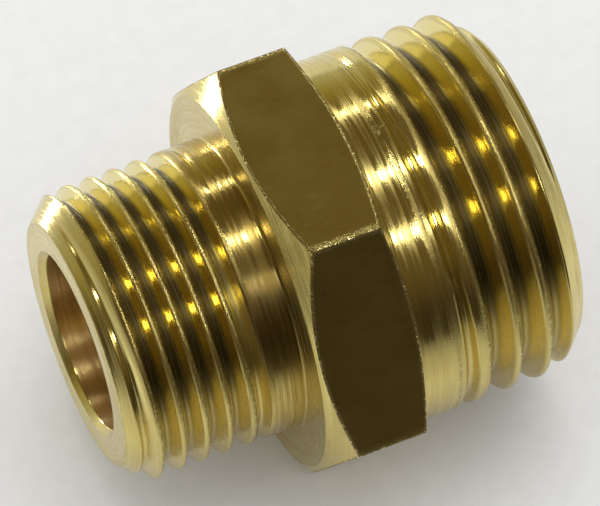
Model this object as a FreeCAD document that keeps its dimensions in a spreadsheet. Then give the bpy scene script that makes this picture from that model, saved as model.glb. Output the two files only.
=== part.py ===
"""Reducing hex nipple: a one-piece brass pipe fitting with a male parallel pipe thread at each end.

The fitting is turned from one length of hexagon bar. X is the flow axis: the small thread
points to -X and the large one to +X. Two of the hexagon's flats are level, facing +Z and -Z.
The origin is on the axis of the bore, half way along the hexagon.
"""
import FreeCAD, Part
import math
import os

import Sketcher

NODE = "hex_nipple_body"

# Driving dimensions in millimetres and degrees: alias, value, meaning.
DIMENSIONS = [
    ("hex_across_flats", 22.0, "spanner size"),
    ("hex_width", 5.9, "between the hexagon's two end planes"),
    ("hex_small_ring", 10.7, "radius where the chamfer starts, small thread's side"),
    ("hex_small_angle", 30.0, "chamfer angle from the end plane, small thread's side"),
    ("hex_large_ring", 10.6, "radius where the chamfer starts, large thread's side"),
    ("hex_large_angle", 22.0, "chamfer angle from the end plane, large thread's side"),
    ("small_length", 10.05, "hexagon end plane to the small end face"),
    ("small_major", 16.6, "G 3/8 outside diameter"),
    ("small_pitch", 1.337, "G 3/8 pitch, 19 threads an inch"),
    ("small_face_radius", 6.95, "outer edge of the small end face"),
    ("small_first_crest", 1.25, "end face to the first crest, in the +Z half plane"),
    ("small_lead_pitches", 2.5, "start of the small cut, in pitches outside the first crest"),
    ("small_turns", 7.0, "turns of full depth on the small thread"),
    ("small_runout", 1.1, "turns over which the small groove fades out"),
    ("large_length", 10.15, "hexagon end plane to the large end face"),
    ("large_major", 20.75, "G 1/2 outside diameter"),
    ("large_pitch", 1.814, "G 1/2 pitch, 14 threads an inch"),
    ("large_face_radius", 8.95, "outer edge of the large end face"),
    ("large_first_crest", 1.28, "end face to the first crest, in the +Z half plane"),
    ("large_lead_pitches", 1.5, "start of the large cut, in pitches outside the first crest"),
    ("large_turns", 4.0, "turns of full depth on the large thread"),
    ("large_runout", 1.4, "turns over which the large groove fades out"),
    ("bore_diameter", 10.0, "through bore"),
    ("bore_bevel", 0.35, "45 degree bevel at each mouth of the bore"),
    ("flank_angle", 27.5, "half angle of the thread groove"),
    ("depth_share", 0.640327, "depth of the thread, in pitches"),
    ("round_share", 0.137329, "radius of the thread's floor and crests, in pitches"),
    ("crest_angle", 20.0, "where a crest's rounding stops, from the top of its arc"),
    ("runout_rise", 1.1, "how far the groove rises over its run-out, in thread depths"),
    ("groove_reach", 0.2, "how far a thread groove's outline stands clear of the metal"),
    ("reach", 0.8, "how far every other cutting outline stands clear of the metal"),
]


def make_sheet(doc):
    """Writes the driving dimensions, one to a row, and names their cells."""
    sheet = doc.addObject("Spreadsheet::Sheet", "Dimensions")
    for row, (alias, value, meaning) in enumerate(DIMENSIONS, start=1):
        sheet.set(f"A{row}", alias)
        sheet.set(f"B{row}", str(value))
        sheet.set(f"C{row}", meaning)
        sheet.setAlias(f"B{row}", alias)
    doc.recompute()
    return sheet


def bound(text):
    """Expands {name} in an expression to that named cell of the sheet."""
    return text.replace("{", "Dimensions.").replace("}", "")


def origin_feature(body, role):
    return next(f for f in body.Origin.OriginFeatures if f.Role == role)


def closed_outline(body, role, name, corners, arcs=None):
    """A closed outline on an origin plane, of straight lines and, where arcs says so, of arcs.

    Each corner is a pair of expressions. arcs maps the corner an arc starts from to the arc's
    centre and radius, also expressions. Everything starts on its evaluated position, and a pair
    of constraints then holds each corner to its expressions, and one more each arc's radius.
    """
    sketch = body.newObject("Sketcher::SketchObject", name)
    sketch.AttachmentSupport = (origin_feature(body, role), [""])
    sketch.MapMode = "FlatFace"
    arcs = arcs or {}

    def value_of(expression):
        return float(sketch.evalExpression(bound(expression)))

    points = [FreeCAD.Vector(value_of(across), value_of(up), 0) for across, up in corners]
    count = len(points)
    ends = []
    for i in range(count):
        start = points[i]
        end = points[(i + 1) % count]
        ends.append((1, 2))
        if i not in arcs:
            sketch.addGeometry(Part.LineSegment(start, end), False)
            continue
        across, up, radius = arcs[i]
        centre = FreeCAD.Vector(value_of(across), value_of(up), 0)
        if (start - centre).cross(end - centre).z < 0:
            # A sketch's arc always runs anticlockwise, so this one is drawn from its far end.
            start, end = end, start
            ends[i] = (2, 1)
        first, last = (math.atan2((p - centre).y, (p - centre).x) for p in (start, end))
        circle = Part.Circle(centre, FreeCAD.Vector(0, 0, 1), value_of(radius))
        sketch.addGeometry(Part.ArcOfCircle(circle, first, last), False)
    for i in range(count):
        following = (i + 1) % count
        joined = Sketcher.Constraint("Coincident", i, ends[i][1], following, ends[following][0])
        sketch.addConstraint(joined)
    for i in range(count):
        held = (("DistanceX", points[i].x, corners[i][0]),
                ("DistanceY", points[i].y, corners[i][1]))
        for kind, value, expression in held:
            index = sketch.addConstraint(Sketcher.Constraint(kind, i, ends[i][0], value))
            sketch.setExpression(f"Constraints[{index}]", bound(expression))
    for i, (_, _, radius) in arcs.items():
        index = sketch.addConstraint(Sketcher.Constraint("Radius", i, value_of(radius)))
        sketch.setExpression(f"Constraints[{index}]", bound(radius))
    return sketch


def settle(body, grows):
    """Recomputes the document, and stops if the newest feature added or removed nothing."""
    shape = body.Shape
    before = 0.0 if shape.isNull() else shape.Volume
    body.Document.recompute()
    change = body.Shape.Volume - before
    if (change if grows else -change) < 0.1:
        raise RuntimeError(f"{body.Tip.Name} changed the volume by {change:.2f} cubic millimetres")


def hexagon_pad(body):
    """The hexagon, centred on the origin, with two flats level."""
    flat = "{hex_across_flats} / 2"
    side = "{hex_across_flats} * tan(30 deg) / 2"
    corner = "{hex_across_flats} / cos(30 deg) / 2"
    outline = closed_outline(body, "YZ_Plane", "HexagonOutline", [
        (corner, "0"),
        (side, flat),
        ("-" + side, flat),
        ("-" + corner, "0"),
        ("-" + side, "-" + flat),
        (side, "-" + flat),
    ])
    pad = body.newObject("PartDesign::Pad", "Hexagon")
    pad.Profile = outline
    pad.Midplane = True
    pad.setExpression("Length", bound("{hex_width}"))
    settle(body, grows=True)


def turned(body, name, corners, grows):
    """A turned boss or a turned cut about the flow axis, from an outline of X against Z."""
    outline = closed_outline(body, "XZ_Plane", name + "Outline", corners)
    feature = body.newObject("PartDesign::Revolution" if grows else "PartDesign::Groove", name)
    feature.Profile = outline
    feature.ReferenceAxis = (origin_feature(body, "X_Axis"), [""])
    feature.Angle = 360.0
    settle(body, grows)


def hexagon_chamfer(body, side, way):
    """Turns the six corners of the hexagon back to a cone on one of its end planes."""
    ring = "{hex_%s_ring}" % side
    plane = "{hex_width} / 2"
    outside = "({hex_across_flats} / cos(30 deg) / 2 + {reach})"
    slope = f"({outside} - {ring}) * tan({{hex_{side}_angle}} * 1 deg)"
    turned(body, side.capitalize() + "HexChamfer", [
        (f"{way}({plane})", ring),
        (f"{way}({plane} - {slope})", outside),
        (f"{way}({plane})", outside),
    ], grows=False)


def spigot(body, side, way):
    """The plain cylinder of one threaded end, with its 45 degree lead-in chamfer."""
    end = "({hex_width} / 2 + {%s_length})" % side
    radius = "{%s_major} / 2" % side
    face = "{%s_face_radius}" % side
    turned(body, side.capitalize() + "Spigot", [
        ("0", "0"),
        ("0", radius),
        (f"{way}({end} - ({radius} - {face}))", radius),
        (f"{way}{end}", face),
        (f"{way}{end}", "0"),
    ], grows=True)


def bore(body):
    """The through bore with a bevel at each mouth."""
    radius = "{bore_diameter} / 2"
    outer = f"({radius} + {{bore_bevel}} + {{reach}})"
    small = "({hex_width} / 2 + {small_length})"
    large = "({hex_width} / 2 + {large_length})"
    turned(body, "Bore", [
        (f"-({small} + {{reach}})", "0"),
        (f"-({small} + {{reach}})", outer),
        (f"-({small} - {{bore_bevel}})", radius),
        (f"{large} - {{bore_bevel}}", radius),
        (f"{large} + {{reach}}", outer),
        (f"{large} + {{reach}}", "0"),
    ], grows=False)


def groove_outline(body, name, side, centre):
    """The thread groove across one pitch: a round floor, straight flanks and rounded crests.

    Each crest keeps a narrow flat, so that neighbouring turns of the groove never meet.
    """
    pitch = "{%s_pitch}" % side
    radius = "({round_share} * %s)" % pitch
    top = "({%s_major} / 2)" % side
    floor = f"({top} - {{depth_share}} * {pitch})"
    flank = "({flank_angle} * 1 deg)"
    rest = "({crest_angle} * 1 deg)"
    floor_half = f"{radius} * cos({flank})"
    floor_rise = f"{radius} * (1 - sin({flank}))"
    crest_half = f"(0.5 * {pitch} - {radius} * cos({flank}))"
    mouth_half = f"(0.5 * {pitch} - {radius} * sin({rest}))"
    mouth = f"{top} - {radius} * (1 - cos({rest}))"
    corners = [
        (f"{centre} - {floor_half}", f"{floor} + {floor_rise}"),
        (f"{centre} + {floor_half}", f"{floor} + {floor_rise}"),
        (f"{centre} + {crest_half}", f"{top} - {floor_rise}"),
        (f"{centre} + {mouth_half}", mouth),
        (f"{centre} + {mouth_half}", f"{top} + {{groove_reach}}"),
        (f"{centre} - {mouth_half}", f"{top} + {{groove_reach}}"),
        (f"{centre} - {mouth_half}", mouth),
        (f"{centre} - {crest_half}", f"{top} - {floor_rise}"),
    ]
    arcs = {
        0: (centre, f"{floor} + {radius}", radius),
        2: (f"{centre} + 0.5 * {pitch}", f"{top} - {radius}", radius),
        6: (f"{centre} - 0.5 * {pitch}", f"{top} - {radius}", radius),
    }
    return closed_outline(body, "XZ_Plane", name, corners, arcs)


def helical_cut(body, side, name, centre, inward, mode, sizes):
    """Sweeps the groove's outline along a right-hand helix about the flow axis."""
    helix = body.newObject("PartDesign::SubtractiveHelix", name)
    helix.Profile = groove_outline(body, name + "Outline", side, centre)
    helix.ReferenceAxis = (origin_feature(body, "X_Axis"), [""])
    helix.Mode = mode
    helix.Reversed = inward == "-"
    for size, expression in sizes:
        helix.setExpression(size, bound(expression))
    settle(body, grows=False)


def thread(body, side, way, inward):
    """Cuts one right-hand thread: full depth from the end face, then a fading run-out.

    way is the side of the origin the thread is on, and inward the opposite sign, which is the
    direction the cut travels along the axis.
    """
    end = "({hex_width} / 2 + {%s_length})" % side
    pitch = "{%s_pitch}" % side
    turns = "{%s_turns}" % side
    fade = "{%s_runout}" % side
    lead = "({%s_first_crest} - {%s_lead_pitches} * %s)" % (side, side, pitch)
    start = f"({way}({end} - {lead}))"
    stop = f"({start} {inward} {turns} * {pitch})"
    name = side.capitalize() + "Thread"
    helical_cut(body, side, name, start, inward, "pitch-turns-angle", [
        ("Pitch", f"{pitch} * 1 mm"),
        ("Turns", turns),
    ])
    helical_cut(body, side, name + "Runout", stop, inward, "height-turns-growth", [
        ("Height", f"{fade} * {pitch} * 1 mm"),
        ("Turns", fade),
        ("Growth", f"{{depth_share}} * {pitch} * {{runout_rise}} / {fade} * 1 mm"),
    ])


def stop_on_failure(doc):
    """Stops the build when any object failed or any feature's shape is bad."""
    for obj in doc.Objects:
        if "Invalid" in obj.State or "Error" in obj.State:
            raise RuntimeError(f"{obj.Name}: {obj.State}")
        if not obj.TypeId.startswith("PartDesign::"):
            continue
        if obj.Shape.isNull() or not obj.Shape.isValid():
            raise RuntimeError(f"{obj.Name}: bad shape")


doc = FreeCAD.newDocument("HexNipple")
make_sheet(doc)
body = doc.addObject("PartDesign::Body", NODE)
body.Label = NODE
hexagon_pad(body)
for side, way in (("small", "-"), ("large", "")):
    hexagon_chamfer(body, side, way)
    spigot(body, side, way)
bore(body)
for side, way, inward in (("small", "-", "+"), ("large", "", "-")):
    thread(body, side, way, inward)
stop_on_failure(doc)

os.makedirs("parts", exist_ok=True)
body.Shape.exportStep(os.path.join("parts", NODE + ".step"))
print(NODE, "solids", len(body.Shape.Solids), "faces", len(body.Shape.Faces))
print("volume", round(body.Shape.Volume, 2), "cubic millimetres")
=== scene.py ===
"""Looks for the reducing hex nipple: one turned brass piece on a pale floor, in metres."""
import math

import bpy
import numpy as np
from mathutils import Matrix, Vector


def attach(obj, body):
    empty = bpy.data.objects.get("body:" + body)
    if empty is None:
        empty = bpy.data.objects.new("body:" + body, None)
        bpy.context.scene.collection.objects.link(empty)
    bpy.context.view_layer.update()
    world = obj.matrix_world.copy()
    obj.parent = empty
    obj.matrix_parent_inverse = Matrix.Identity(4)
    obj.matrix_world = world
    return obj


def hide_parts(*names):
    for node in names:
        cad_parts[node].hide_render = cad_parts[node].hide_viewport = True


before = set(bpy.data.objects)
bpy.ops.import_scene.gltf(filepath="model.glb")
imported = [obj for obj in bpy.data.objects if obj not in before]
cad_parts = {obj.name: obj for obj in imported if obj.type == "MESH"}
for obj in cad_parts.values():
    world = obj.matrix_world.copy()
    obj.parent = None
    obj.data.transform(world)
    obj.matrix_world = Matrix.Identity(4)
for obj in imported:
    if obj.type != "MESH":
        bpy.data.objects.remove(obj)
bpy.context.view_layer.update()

MM = 0.001
NODE = "hex_nipple_body"

# ---------------------------------------------------------------- sizes, in millimetres
HEX_FLAT = 11.0
HEX_HALF = 2.95
HEX_CORNER_R = 0.08
HEX_EDGE_R = 0.06
FLOOR_Z = -HEX_FLAT
BORE_R = 5.0
BORE_BEVEL = 0.35

# The thread's depth and its rounding are shares of its pitch. The groove climbs a little past
# its own depth. A burr stands beside each crest, placed and sized in pitches.
DEPTH_SHARE = 0.640327
ROUND_SHARE = 0.137329
FLANK_ANGLE = 27.5
OVERRUN = 1.1
NO_CUT = 50.0
MOST_TURNS = 10
BURR_AT = 0.40
BURR_WIDE = 0.05


class End:
    """One threaded end, with way -1 for the small end and +1 for the large one.

    groove_at is the groove's place in the +Z half plane where it starts to fade. From there it
    climbs out of the metal by growth millimetres for each turn, and is gone within fade_turns.
    """

    def __init__(self, way, length, major, face_radius, pitch, groove_at, fade_turns,
                 ring, ring_angle, neck_r, step):
        self.way = way
        self.face = HEX_HALF + length
        self.top = major / 2
        self.face_radius = face_radius
        self.pitch = pitch
        self.groove_at = groove_at
        self.growth = DEPTH_SHARE * pitch * OVERRUN / fade_turns
        self.ring = ring
        self.slope = math.tan(math.radians(ring_angle))
        self.neck_r = neck_r
        self.step = step


SMALL = End(way=-1, length=10.05, major=16.6, face_radius=6.95, pitch=1.337,
            groove_at=-5.7335, fade_turns=1.1, ring=10.7, ring_angle=30.0,
            neck_r=0.16, step=0.068)
LARGE = End(way=1, length=10.15, major=20.75, face_radius=8.95, pitch=1.814,
            groove_at=7.285, fade_turns=1.4, ring=10.6, ring_angle=22.0,
            neck_r=0.10, step=0.082)


# ---------------------------------------------------------------- angles round the axis
def ring_angles():
    """Angles from +Y towards +Z, closer together at the hexagon's corners."""
    near = np.array([0.18, 0.36, 0.54, 0.8])
    even = np.arange(32) * (60.0 / 32)
    out = []
    for corner in range(0, 360, 60):
        part = np.concatenate([even, near, 60.0 - near])
        out.append(corner + np.sort(part))
    return np.radians(np.concatenate(out))


PHI = ring_angles()
COLUMNS = len(PHI)


def hexagon_radius(phi):
    """Distance from the axis to a hexagon with rounded corners and level flats."""
    off = (phi - math.pi / 6) % (math.pi / 3)
    off = np.where(off > math.pi / 6, off - math.pi / 3, off)
    flat = HEX_FLAT / np.cos(off)
    from_corner = math.pi / 6 - np.abs(off)
    centre = (HEX_FLAT - HEX_CORNER_R) / math.cos(math.pi / 6)
    inside = np.maximum(HEX_CORNER_R ** 2 - (centre * np.sin(from_corner)) ** 2, 0)
    rounded = centre * np.cos(from_corner) + np.sqrt(inside)
    tangent = math.atan((HEX_FLAT - HEX_CORNER_R) * math.tan(math.pi / 6) / HEX_FLAT)
    return np.where(np.abs(off) > tangent, rounded, flat)


# ---------------------------------------------------------------- the thread
def groove_height(offset, pitch):
    """Height of the cut's edge above the groove's floor, at an axial offset from its centre."""
    r = ROUND_SHARE * pitch
    depth = DEPTH_SHARE * pitch
    flank = math.radians(FLANK_ANGLE)
    d = np.abs(offset)
    floor_half = r * math.cos(flank)
    crest_half = 0.5 * pitch - floor_half
    floor = r - np.sqrt(np.maximum(r * r - np.minimum(d, floor_half) ** 2, 0))
    line = r * (1 - math.sin(flank)) + (d - floor_half) / math.tan(flank)
    from_crest = np.clip(0.5 * pitch - d, 0, floor_half)
    crest = depth - r + np.sqrt(np.maximum(r * r - from_crest ** 2, 0))
    height = np.where(d < floor_half, floor, np.where(d < crest_half, line, crest))
    return np.where(d > 0.5 * pitch, NO_CUT, height)


def thread_radius(end, x, phi):
    """Radius left by the right-hand groove at x and phi, with its burr and its crest marked."""
    depth = DEPTH_SHARE * end.pitch
    root = end.top - depth
    turn = (phi - math.pi / 2) / (2 * math.pi)
    best = np.full(np.broadcast(x, phi).shape, end.top)
    burr = np.zeros_like(best)
    crest = np.zeros_like(best)
    travel = -end.way
    for n in range(-MOST_TURNS, MOST_TURNS + 1):
        along = turn + n
        offset = (x - end.groove_at - end.pitch * along) / end.pitch
        lift = np.maximum(travel * along, 0.0) * end.growth
        best = np.minimum(best, root + groove_height(offset * end.pitch, end.pitch) + lift)
        left = np.clip(1 - lift / depth, 0, 1)
        burr = np.maximum(burr, left * np.exp(-((offset + BURR_AT) / BURR_WIDE) ** 2))
        near = np.exp(-((np.abs(offset) - 0.5) / 0.10) ** 2)
        crest = np.maximum(crest, np.sqrt(left) * near)
    return best, burr, crest


# ---------------------------------------------------------------- rows of the outline
# A row is (x, radius, edge, crest, depth), each an array with a value for every column. edge is
# how much of an outer edge it is, crest how close it is to the top of a thread, and depth how far
# down a groove it is, in thread depths.
def spread(value):
    return np.full(COLUMNS, float(value)) if np.isscalar(value) else value


PLAIN = spread(0.0)


def corner_rows(before, corner, after, radius, count, edge):
    """Rows round one corner of the outline, for every column at once."""
    a, b, c = (np.stack([spread(p[0]), spread(p[1])]) for p in (before, corner, after))
    u = (a - b) / np.linalg.norm(a - b, axis=0)
    v = (c - b) / np.linalg.norm(c - b, axis=0)
    half = np.arccos(np.clip((u * v).sum(0), -1, 1)) / 2
    reach = radius / np.tan(half)
    middle = u + v
    middle /= np.linalg.norm(middle, axis=0)
    centre = b + middle * radius / np.sin(half)
    start = b + u * reach - centre
    stop = b + v * reach - centre
    sweep = np.arccos(np.clip((start * stop).sum(0) / radius ** 2, -1, 1))
    rows = []
    for k in range(count + 1):
        t = k / count
        p = centre + (start * np.sin((1 - t) * sweep) + stop * np.sin(t * sweep)) / np.sin(sweep)
        rows.append((p[0], p[1], spread(edge), PLAIN, PLAIN))
    return rows


def between(first, last, shares):
    """Rows on the straight from one row to another."""
    rows = []
    for share in shares:
        rows.append((first[0] + (last[0] - first[0]) * share,
                     first[1] + (last[1] - first[1]) * share, PLAIN, PLAIN, PLAIN))
    return rows


def end_rows(end):
    """From the bore's wall out round the end face and along the thread to the plain neck."""
    w = end.way
    wall = (w * (end.face - 3.0), BORE_R)
    mouth = (w * (end.face - BORE_BEVEL), BORE_R)
    rim = (w * end.face, BORE_R + BORE_BEVEL)
    outer = (w * end.face, end.face_radius)
    beyond = (w * (end.face - 1.0), end.face_radius + 1.0)
    rows = corner_rows(wall, mouth, rim, 0.15, 3, 0.0)
    bend = corner_rows(mouth, rim, outer, 0.07, 3, 0.15)
    rows += bend
    bend_out = corner_rows(rim, outer, beyond, 0.22, 4, 0.25)
    rows += between(bend[-1], bend_out[0], (0.15, 0.5, 0.85))
    rows += bend_out
    first = end.face - 0.12
    last = HEX_HALF + 0.40
    count = int((first - last) / end.step)
    for k in range(count + 1):
        x = first + (last - first) * k / count
        lead = end.face_radius + (end.face - x)
        soft = 0.12
        mix = np.clip(0.5 + 0.5 * (lead - end.top) / soft, 0, 1)
        outline = lead * (1 - mix) + end.top * mix - soft * mix * (1 - mix)
        cut, burr, crest = thread_radius(end, w * x, PHI)
        radius = np.minimum(cut, outline)
        whole = np.clip(1 - (end.top - outline) / 0.25, 0, 1)
        depth = np.clip((outline - cut) / (DEPTH_SHARE * end.pitch), 0, 1)
        rows.append((spread(w * x), radius, burr * whole, crest * whole, depth))
    return rows


def shoulder_rows(end):
    """From the plain neck up the hexagon's end plane and over its chamfer onto the flats."""
    w = end.way
    hexagon = hexagon_radius(PHI)
    neck = (w * (HEX_HALF + 1.0), end.top)
    root = (w * HEX_HALF, end.top)
    ring = (w * HEX_HALF, end.ring)
    brink = (w * (HEX_HALF - (hexagon - end.ring) * end.slope), hexagon)
    inner = (spread(0.0), hexagon)
    rows = corner_rows(neck, root, ring, end.neck_r, 4, 0.0)
    soft = corner_rows(root, ring, brink, 0.25, 3, 0.15)
    rows += between(rows[-1], soft[0], (0.33, 0.66))
    rows += soft
    edge = corner_rows(ring, brink, inner, HEX_EDGE_R, 4, 1.0)
    rows += between(soft[-1], edge[0], (0.2, 0.5, 0.8, 0.93))
    rows += edge
    return rows


def outline_rows():
    """The whole closed outline, from the small end over the hexagon and back down the bore."""
    small = end_rows(SMALL) + shoulder_rows(SMALL)
    large = end_rows(LARGE) + shoulder_rows(LARGE)
    flats = between(small[-1], large[-1], (0.03, 0.08, 0.2, 0.35, 0.5, 0.65, 0.8, 0.92, 0.97))
    from_corner = np.abs((PHI + math.pi / 6) % (math.pi / 3) - math.pi / 6)
    brow = np.clip(1 - from_corner * HEX_FLAT / 0.28, 0, 1)
    flats = [(r[0], r[1], brow, PLAIN, PLAIN) for r in flats]
    rows = small + flats + large[::-1]
    marks = ["turned"] * (len(small) - 1)
    marks += ["flat"] * (len(flats) + 1)
    marks += ["turned"] * (len(large) - 1)
    bore = between(large[0], small[0], [k / 14 for k in range(1, 14)])
    rows += bore
    marks += ["bore"] * (len(bore) + 1)
    return rows, marks


# Small marks on the large neck: x, angle round the axis in degrees, half length along x and
# half width round the axis in millimetres, and depth, negative where metal is raised.
DENTS = [
    (5.43, 144.0, 0.10, 0.45, -0.10),
    (5.62, 142.0, 0.10, 0.40, 0.12),
    (4.87, 90.5, 0.45, 0.10, 0.10),
    (4.55, 92.5, 0.30, 0.10, 0.06),
]


def dented(x, radius):
    """The radii with the marks pressed in or raised, and how marked each point is."""
    marked = np.zeros_like(radius)
    for at, angle, half_length, half_width, depth in DENTS:
        round_off = (PHI - math.radians(angle)) * LARGE.top
        shape = np.exp(-((x - at) / half_length) ** 2 - (round_off / half_width) ** 2)
        shape = np.where(radius > LARGE.top - 0.6, shape, 0)
        radius = radius - depth * shape
        marked = np.maximum(marked, shape)
    return radius, marked


def make_mesh():
    rows, marks = outline_rows()
    count = len(rows)
    x, radius, edge, crest, depth = (np.stack([spread(r[k]) for r in rows]) for k in range(5))
    radius, marked = dented(x, radius)
    edge = np.maximum(edge, marked)
    points = np.stack([x, radius * np.cos(PHI), radius * np.sin(PHI)], axis=-1).reshape(-1, 3) * MM
    i = np.arange(count)[:, None]
    j = np.arange(COLUMNS)[None, :]
    a = i * COLUMNS + j
    b = i * COLUMNS + (j + 1) % COLUMNS
    c = (i + 1) % count * COLUMNS + (j + 1) % COLUMNS
    d = (i + 1) % count * COLUMNS + j
    quads = np.stack([a, b, c, d], axis=-1).reshape(-1, 4)

    mesh = bpy.data.meshes.new("nipple_skin")
    mesh.vertices.add(len(points))
    mesh.vertices.foreach_set("co", points.ravel())
    mesh.loops.add(quads.size)
    mesh.loops.foreach_set("vertex_index", quads.ravel())
    mesh.polygons.add(len(quads))
    mesh.polygons.foreach_set("loop_start", np.arange(len(quads)) * 4)
    mesh.update(calc_edges=True)
    mesh.validate()

    for name, values in (("edge", edge), ("depth", depth), ("crest", crest)):
        layer = mesh.attributes.new(name, "FLOAT", "POINT")
        layer.data.foreach_set("value", values.ravel().astype(np.float32))

    # Each vertex takes its normal from the faces round it by their area, so that the flats
    # stay flat beside their narrow rounded edges.
    p = points[quads]
    face = np.cross(p[:, 2] - p[:, 0], p[:, 3] - p[:, 1])
    normals = np.zeros_like(points)
    for k in range(4):
        np.add.at(normals, quads[:, k], face)
    normals /= np.linalg.norm(normals, axis=1)[:, None]
    mesh.polygons.foreach_set("use_smooth", np.ones(len(quads), bool))
    mesh.normals_split_custom_set_from_vertices(normals)

    kinds = {"turned": 0, "flat": 1, "bore": 2}
    slots = np.repeat([kinds[m] for m in marks], COLUMNS).astype(np.int32)
    mesh.polygons.foreach_set("material_index", slots)
    return mesh


# ---------------------------------------------------------------- materials
class Graph:
    """Small helpers for building the nodes of a material or a world."""

    def __init__(self, owner):
        self.owner = owner
        owner.use_nodes = True
        self.tree = owner.node_tree
        self.tree.nodes.clear()

    def node(self, kind, inputs=None, **settings):
        made = self.tree.nodes.new(kind)
        for key, value in settings.items():
            setattr(made, key, value)
        for key, value in (inputs or {}).items():
            if isinstance(value, bpy.types.NodeSocket):
                self.tree.links.new(value, made.inputs[key])
            else:
                made.inputs[key].default_value = value
        return made

    def math(self, operation, a, b=0.0, clamp=False):
        made = self.node("ShaderNodeMath", {0: a, 1: b}, operation=operation, use_clamp=clamp)
        return made.outputs[0]

    def remap(self, value, low, high, to_low, to_high):
        made = self.node("ShaderNodeMapRange", {
            "Value": value, "From Min": low, "From Max": high, "To Min": to_low, "To Max": to_high,
        })
        return made.outputs["Result"]

    def mix(self, share, a, b):
        made = self.node("ShaderNodeMix", {0: share, 6: a, 7: b}, data_type="RGBA")
        return made.outputs[2]

    def attribute(self, name):
        return self.node("ShaderNodeAttribute", attribute_name=name).outputs["Fac"]

    def stretched_noise(self, place, stretch, scale, detail=2.0, roughness=0.5):
        scaled = self.node("ShaderNodeVectorMath", {0: place, 1: stretch}, operation="MULTIPLY")
        made = self.node("ShaderNodeTexNoise", {
            "Vector": scaled.outputs[0], "Scale": scale, "Detail": detail, "Roughness": roughness,
        })
        return made.outputs["Fac"]


BRASS = (0.72, 0.61, 0.215, 1.0)
BRASS_PALE = (0.84, 0.76, 0.38, 1.0)
BRASS_WARM = (0.50, 0.355, 0.10, 1.0)
# Redder and brighter for the bore: a painted reflection of light bounced round inside it.
BRASS_BORE = (0.86, 0.63, 0.28, 1.0)
# Painted shade for the thread roots.
ROOT_SHADE = (0.060, 0.040, 0.015, 1.0)
# Painted shade for the plain neck beside the small thread.
NECK_SHADE = (0.40, 0.275, 0.065, 1.0)
# Painted shade for the edges.
EDGE_SHADE = (0.14, 0.10, 0.035, 1.0)
# Painted shade for a patch on the small neck's front.
SHADE_PATCH = (0.105, 0.066, 0.022, 1.0)
BURNISHED = (0.88, 0.76, 0.30, 1.0)
PAPER_GREY = (0.80, 0.80, 0.79, 1.0)
PAPER_PALE = (0.83, 0.83, 0.82, 1.0)
CARD_DARK = (0.045, 0.034, 0.020, 1.0)
SKY_FRONT = (0.045, 0.032, 0.020, 1.0)
SKY_ALOFT = (0.135, 0.095, 0.036, 1.0)
SKY_MIDDLE = (0.36, 0.30, 0.10, 1.0)
SKY_LOW = (0.52, 0.51, 0.38, 1.0)
SKY_PLAIN = (0.82, 0.82, 0.82, 1.0)


# The painted shade patch's middle and reach in millimetres, and the direction that the under side
# faces.
SHADE_PATCH_AT = (-4.7, -6.0, 5.7)
SHADE_PATCH_REACH = 4.6
UNDER = (0.0, -0.94, -0.342)


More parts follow.
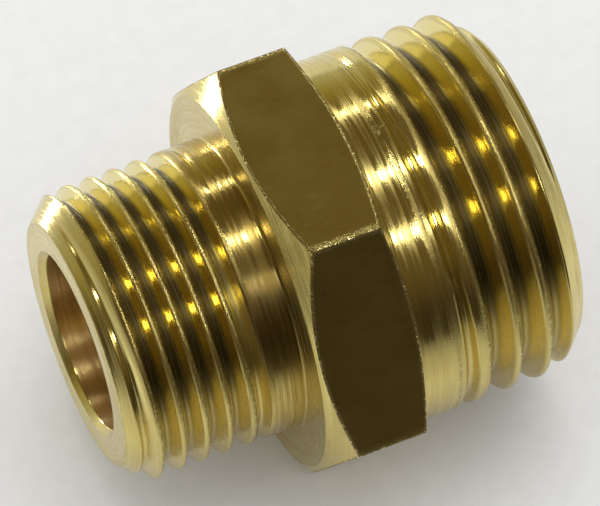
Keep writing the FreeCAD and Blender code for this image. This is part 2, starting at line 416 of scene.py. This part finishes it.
def brass(name, cut):
    """Brass with the marks of how it was cut: turned, drawn flat or bored, with painted shade and
    glints.
    """
    g = Graph(bpy.data.materials.new(name))
    place = g.node("ShaderNodeTexCoord").outputs["Object"]
    place = g.node("ShaderNodeVectorMath", {0: place, 3: 1000.0}, operation="SCALE").outputs[0]
    edge = g.attribute("edge")
    depth = g.attribute("depth")
    crest = g.attribute("crest")

    cloud = g.stretched_noise(place, (1.0, 1.0, 1.0), 0.35, 3.0)
    fine = g.stretched_noise(place, (1.0, 1.0, 1.0), 11.0, 2.0)
    if cut == "flat":
        lines = g.stretched_noise(place, (0.12, 1.0, 1.0), 9.0, 4.0, 0.6)
        hairs = g.stretched_noise(place, (0.05, 1.0, 1.0), 26.0, 2.0)
        base, line_height, hair_height, base_rough, blotch = BRASS, 0.0009, 0.0004, 0.16, 0.12
    else:
        # The tool leaves rings: they follow the distance along the outline, not the angle.
        parts = g.node("ShaderNodeSeparateXYZ", {0: place}).outputs
        across = g.node("ShaderNodeCombineXYZ", {1: parts[1], 2: parts[2]}).outputs[0]
        radius = g.node("ShaderNodeVectorMath", {0: across}, operation="LENGTH").outputs["Value"]
        travel = g.math("ADD", parts[0], g.math("MULTIPLY", radius, 1.3))
        rings = g.node("ShaderNodeCombineXYZ", {0: travel, 1: parts[1], 2: parts[2]}).outputs[0]
        lines = g.stretched_noise(rings, (1.0, 0.03, 0.03), 4.0, 4.0, 0.65)
        hairs = g.stretched_noise(rings, (1.0, 0.02, 0.02), 22.0, 2.0)
        base, line_height, hair_height, base_rough, blotch = BRASS, 0.034, 0.0010, 0.15, 0.30
    # Painted reflection: the bore's brass is redder and brighter, for light bounced round inside
    # it.
    if cut == "bore":
        base, base_rough = BRASS_BORE, 0.32

    colour = g.mix(g.remap(cloud, 0.3, 0.7, 0.0, blotch), base, BRASS_WARM)
    streak = g.remap(lines, 0.35, 0.65, 0.0, 0.35)
    colour = g.mix(streak, colour, BRASS_WARM)
    if cut == "turned":
        # Painted shade: the plain neck beside the small thread, where it mirrors the hexagon's
        # end, is painted browner, in rings.
        neck = g.remap(parts[0], -6.3, -5.0, 0.0, 1.0)
        neck = g.math("MULTIPLY", neck, g.remap(parts[0], -3.05, -2.9, 1.0, 0.0))
        neck_darkening = g.math("MULTIPLY", neck, g.remap(lines, 0.40, 0.56, 0.15, 0.80))
        colour = g.mix(neck_darkening, colour, NECK_SHADE)
        # Painted shade: a darker patch on its front, where the metal is matt, in place of a lamp's
        # highlight.
        off = g.node("ShaderNodeVectorMath", {0: place, 1: SHADE_PATCH_AT}, operation="DISTANCE")
        front_patch_shade = g.remap(off.outputs["Value"], 1.2, SHADE_PATCH_REACH, 1.0, 0.0)
        front_patch_shade = g.math("MULTIPLY", front_patch_shade, neck)
        front_patch_shade = g.math("MULTIPLY", front_patch_shade, g.remap(lines, 0.40, 0.60, 1.0, 0.6))
        colour = g.mix(front_patch_shade, colour, SHADE_PATCH)
    flank = g.remap(depth, 0.08, 0.22, 0.0, 1.0)
    colour = g.mix(g.math("MULTIPLY", flank, 0.85), colour, BURNISHED)
    # Painted shade in the thread roots, deepest at the bottom of the groove.
    root = g.remap(depth, 0.78, 0.95, 0.0, 0.95)
    if cut == "turned":
        # Painted shade: the roots are darkened less on the under side, where the flanks get
        # painted shade of their own.
        # The end faces are a little paler.
        under = g.node("ShaderNodeVectorMath", {0: across, 1: UNDER}, operation="DOT_PRODUCT")
        under = g.math("DIVIDE", under.outputs["Value"], radius)
        root = g.math("MULTIPLY", root, g.remap(under, 0.62, 0.86, 1.0, 0.35))
        # Painted shade: the flanks on the under side are made darker and warmer, and rougher.
        under_flank_shade = g.math("MULTIPLY", flank, g.remap(under, 0.55, 0.80, 0.0, 1.0))
        colour = g.mix(g.math("MULTIPLY", under_flank_shade, 0.45), colour, BRASS_WARM)
        face = g.remap(g.math("ABSOLUTE", parts[0]), 12.3, 12.9, 0.0, 0.12)
        colour = g.mix(face, colour, BRASS_PALE)
    # Painted shade: the roots are mixed towards near black.
    colour = g.mix(root, colour, ROOT_SHADE)
    # Painted glints: specks on the edges are paler brass, and smoother below.
    spots = g.stretched_noise(place, (1.0, 1.0, 1.0), 5.0, 1.0)
    speck = g.remap(spots, 0.54, 0.64, 0.0, 1.0)
    painted_glint = g.math("MULTIPLY", edge, speck)
    # Painted shade: between the specks the edges are darkened, which dims their gloss.
    edge_darkening = g.math("MULTIPLY", g.math("SUBTRACT", edge, painted_glint), 0.80)
    colour = g.mix(edge_darkening, colour, EDGE_SHADE)
    colour = g.mix(painted_glint, colour, BRASS_PALE)

    rough = g.remap(cloud, 0.3, 0.7, base_rough - 0.02, base_rough + 0.05)
    rough = g.math("ADD", rough, g.remap(hairs, 0.3, 0.7, -0.03, 0.03))
    rough = g.math("ADD", rough, g.math("MULTIPLY", crest, 0.07))
    rough = g.math("ADD", rough, g.math("MULTIPLY", edge, 0.20))
    if cut == "turned":
        rough = g.math("ADD", rough, g.math("MULTIPLY", front_patch_shade, 0.26))
        rough = g.math("ADD", rough, g.math("MULTIPLY", under_flank_shade, 0.14))
        bare = g.math("SUBTRACT", 1.0, flank)
        uneven = g.remap(lines, 0.42, 0.58, -0.03, 0.15)
        rough = g.math("ADD", rough, g.math("MULTIPLY", bare, uneven))
    rough = g.math("ADD", rough, g.math("MULTIPLY", root, 0.38))
    rough = g.math("SUBTRACT", rough, g.math("MULTIPLY", flank, 0.050))
    rough = g.math("SUBTRACT", rough, g.math("MULTIPLY", painted_glint, 0.28), clamp=True)

    if cut == "turned":
        # The rings are coarse along the threads and necks, and fine on the faces and chamfers.
        reach = g.math("ABSOLUTE", parts[0])
        begins = g.remap(reach, 3.0, 3.2, 0.0, 1.0)
        coarse = g.math("MULTIPLY", begins, g.remap(reach, 11.0, 12.0, 1.0, 0.0))
        coarse = g.math("MULTIPLY", coarse, g.remap(flank, 0.0, 1.0, 1.0, 0.07))
        lines = g.math("MULTIPLY", lines, g.remap(coarse, 0.0, 1.0, 0.06, 1.0))
    height = g.math("MULTIPLY", lines, line_height)
    hair_depth = g.remap(flank, 0.0, 1.0, hair_height, hair_height * 0.3)
    height = g.math("ADD", height, g.math("MULTIPLY", hairs, hair_depth))
    worn = g.math("ADD", g.math("MULTIPLY", edge, 0.050), g.math("MULTIPLY", crest, 0.026))
    height = g.math("ADD", height, g.math("MULTIPLY", worn, fine))
    bump = g.node("ShaderNodeBump", {"Height": height, "Strength": 1.0, "Distance": MM})

    shader = g.node("ShaderNodeBsdfPrincipled", {
        "Base Color": colour, "Metallic": 1.0, "Roughness": rough, "Normal": bump.outputs[0],
        "Anisotropic": 0.7 if cut != "flat" else 0.0, "Anisotropic Rotation": 0.25,
    })
    if cut != "flat":
        round_axis = g.node("ShaderNodeTangent", direction_type="RADIAL", axis="X")
        g.tree.links.new(round_axis.outputs[0], shader.inputs["Tangent"])
    out = g.node("ShaderNodeOutputMaterial")
    g.tree.links.new(shader.outputs[0], out.inputs[0])
    return g.owner


# How far the floor stays solid and how far it goes, in metres, and the card's height above it,
# in millimetres.
FLOOR_SOLID = 0.14
FLOOR_REACH = 0.55
CARD_LIFT = 0.2


def faded(g, shader, share):
    """Ends a material with its shader giving way to clear by a share."""
    clear = g.node("ShaderNodeBsdfTransparent")
    both = g.node("ShaderNodeMixShader", {0: share, 1: shader.outputs[0], 2: clear.outputs[0]})
    out = g.node("ShaderNodeOutputMaterial")
    g.tree.links.new(both.outputs[0], out.inputs[0])
    return g.owner


def floor_paint():
    """Matt pale paper that thins out to nothing towards its rim."""
    g = Graph(bpy.data.materials.new("floor_paper"))
    place = g.node("ShaderNodeTexCoord").outputs["Object"]
    grain = g.stretched_noise(place, (1.0, 1.0, 1.0), 900.0, 3.0)
    colour = g.mix(g.remap(grain, 0.3, 0.7, 0.0, 1.0), PAPER_GREY, PAPER_PALE)
    paper = g.node("ShaderNodeBsdfDiffuse", {0: colour})
    far = g.node("ShaderNodeVectorMath", {0: place}, operation="LENGTH").outputs["Value"]
    return faded(g, paper, g.remap(far, FLOOR_SOLID, FLOOR_REACH, 0.0, 1.0))


def card_paint():
    """A dark card, clear round the fitting and darker ahead of it and to either side."""
    g = Graph(bpy.data.materials.new("card"))
    place = g.node("ShaderNodeTexCoord").outputs["Object"]
    parts = g.node("ShaderNodeSeparateXYZ", {0: place}).outputs
    ahead = g.remap(parts[1], -0.058, -0.014, 0.0, 1.0)
    left = g.remap(parts[0], -0.065, -0.032, 0.60, 1.0)
    right = g.remap(parts[0], 0.035, 0.110, 1.0, 0.55)
    share = g.math("MINIMUM", g.math("MINIMUM", ahead, left), right)
    dark = g.node("ShaderNodeBsdfDiffuse", {0: CARD_DARK})
    return faded(g, dark, share)


# ---------------------------------------------------------------- the piece
nipple = bpy.data.objects.new("nipple_skin", make_mesh())
bpy.context.scene.collection.objects.link(nipple)
for finish in ("turned", "flat", "bore"):
    nipple.data.materials.append(brass("brass_" + finish, finish))
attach(nipple, "root")
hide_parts(NODE)


# ---------------------------------------------------------------- the floor
DISC_SIDES = 96


def make_disc(name, reach, height, material):
    """A level disc round the origin."""
    turn = np.arange(DISC_SIDES) * (2 * math.pi / DISC_SIDES)
    verts = [(reach * math.cos(t), reach * math.sin(t), height) for t in turn]
    mesh = bpy.data.meshes.new(name)
    mesh.from_pydata(verts, [], [list(range(DISC_SIDES))])
    mesh.update()
    made = bpy.data.objects.new(name, mesh)
    made.data.materials.append(material)
    bpy.context.scene.collection.objects.link(made)
    return made


make_disc("floor", FLOOR_REACH, FLOOR_Z * MM, floor_paint())
# The card is seen only in reflections, where it gives the brass something dark to mirror.
card = make_disc("card", FLOOR_REACH, (FLOOR_Z + CARD_LIFT) * MM, card_paint())
card.visible_camera = False
card.visible_diffuse = False
card.visible_shadow = False


# ---------------------------------------------------------------- light
def direction(round_axis, along):
    """A direction at an angle round the flow axis, from +Y towards +Z, leaning along X."""
    a, t = math.radians(round_axis), math.radians(along)
    return Vector((math.sin(t), math.cos(t) * math.cos(a), math.cos(t) * math.sin(a)))


def lamp(name, towards, distance, size, radiance, soft=False):
    """A lamp facing the fitting. A soft one lights the floor and isn't mirrored."""
    length, width = size
    data = bpy.data.lights.new(name, "AREA")
    data.shape = "RECTANGLE"
    data.size = length
    data.size_y = width
    data.energy = radiance * math.pi * length * width
    made = bpy.data.objects.new(name, data)
    facing = towards.to_track_quat("Z", "Y").to_matrix().to_4x4()
    made.matrix_world = Matrix.Translation(towards * distance) @ facing
    made.visible_glossy = not soft
    made.visible_diffuse = soft
    made.visible_camera = False
    bpy.context.scene.collection.objects.link(made)
    return made


# Three strips lie along the flow axis, and two small lamps stand low behind the fitting. These
# five are seen only in reflections.
lamp("overhead", direction(89, 0), 0.6, (0.36, 0.054), 14.0)
lamp("front", direction(127, 0), 0.6, (0.36, 0.048), 13.0)
lamp("behind", direction(41, 0), 0.6, (0.36, 0.045), 8.0)
lamp("low_back", Vector((-0.16, 0.98, -0.06)).normalized(), 0.14, (0.014, 0.010), 60.0)
lamp("low_left", Vector((-24, 36, -8)).normalized(), 0.044, (0.006, 0.005), 24.0)
lamp("fill", direction(80, 10), 0.9, (0.8, 0.8), 1.4, soft=True)


def make_world():
    """Surroundings that reflections see as pale low down behind and dim in front and overhead.

    The camera and all other light see them as plain and pale.
    """
    g = Graph(bpy.data.worlds.new("studio"))
    place = g.node("ShaderNodeTexCoord").outputs["Generated"]
    parts = g.node("ShaderNodeSeparateXYZ", {0: place})
    x, y, z = parts.outputs[0], parts.outputs[1], parts.outputs[2]
    behind = g.remap(y, 0.0, 0.5, 0.0, 1.0)
    low = g.remap(z, 0.02, 0.25, 1.0, 0.0)
    middle = g.remap(z, 0.25, 0.62, 1.0, 0.0)
    aloft = g.math("MAXIMUM", g.remap(z, 0.05, 0.5, 0.0, 1.0), behind)
    seen = g.mix(aloft, SKY_FRONT, SKY_ALOFT)
    seen = g.mix(g.math("MULTIPLY", middle, behind), seen, SKY_MIDDLE)
    across = g.remap(x, 0.0, 0.9, 1.0, 0.45)
    pale = g.math("MULTIPLY", g.math("MULTIPLY", low, behind), across)
    seen = g.mix(pale, seen, SKY_LOW)
    mirrored = g.node("ShaderNodeBackground", {0: seen, 1: 1.0})
    plain = g.node("ShaderNodeBackground", {0: SKY_PLAIN, 1: 1.0})
    path = g.node("ShaderNodeLightPath")
    both = g.node("ShaderNodeMixShader", {
        0: path.outputs["Is Glossy Ray"], 1: plain.outputs[0], 2: mirrored.outputs[0],
    })
    out = g.node("ShaderNodeOutputWorld")
    g.tree.links.new(both.outputs[0], out.inputs[0])
    bpy.context.scene.world = g.owner


make_world()

# ---------------------------------------------------------------- camera
# DISTANCE, AIM and ALONG are in millimetres. FOCAL is in pixels of a 600 pixel wide picture.
AZIMUTH = math.radians(23.618)
ELEVATION = math.radians(56.412)
DISTANCE = 329.05
FOCAL = 6035.3
AIM = (-0.104, 0.485)
ALONG = 0.365
SENSOR = 36.0
PICTURE_WIDTH = 600

right = Vector((math.cos(AZIMUTH), -math.sin(AZIMUTH), 0))
away = Vector((math.sin(AZIMUTH), math.cos(AZIMUTH), 0))
back = -away * math.cos(ELEVATION) + Vector((0, 0, math.sin(ELEVATION)))
up = away * math.sin(ELEVATION) + Vector((0, 0, math.cos(ELEVATION)))
where = (right * AIM[0] + up * AIM[1] + back * DISTANCE + Vector((ALONG, 0, 0))) * MM
lens = bpy.data.cameras.new("camera")
lens.sensor_width = SENSOR
lens.lens = SENSOR * FOCAL / PICTURE_WIDTH
lens.clip_start = 0.01
lens.clip_end = 20.0
camera = bpy.data.objects.new("camera", lens)
camera.matrix_world = Matrix.Translation(where) @ Matrix((right, up, back)).transposed().to_4x4()
bpy.context.scene.collection.objects.link(camera)
bpy.context.scene.camera = camera
bpy.context.scene.view_settings.view_transform = "Standard"
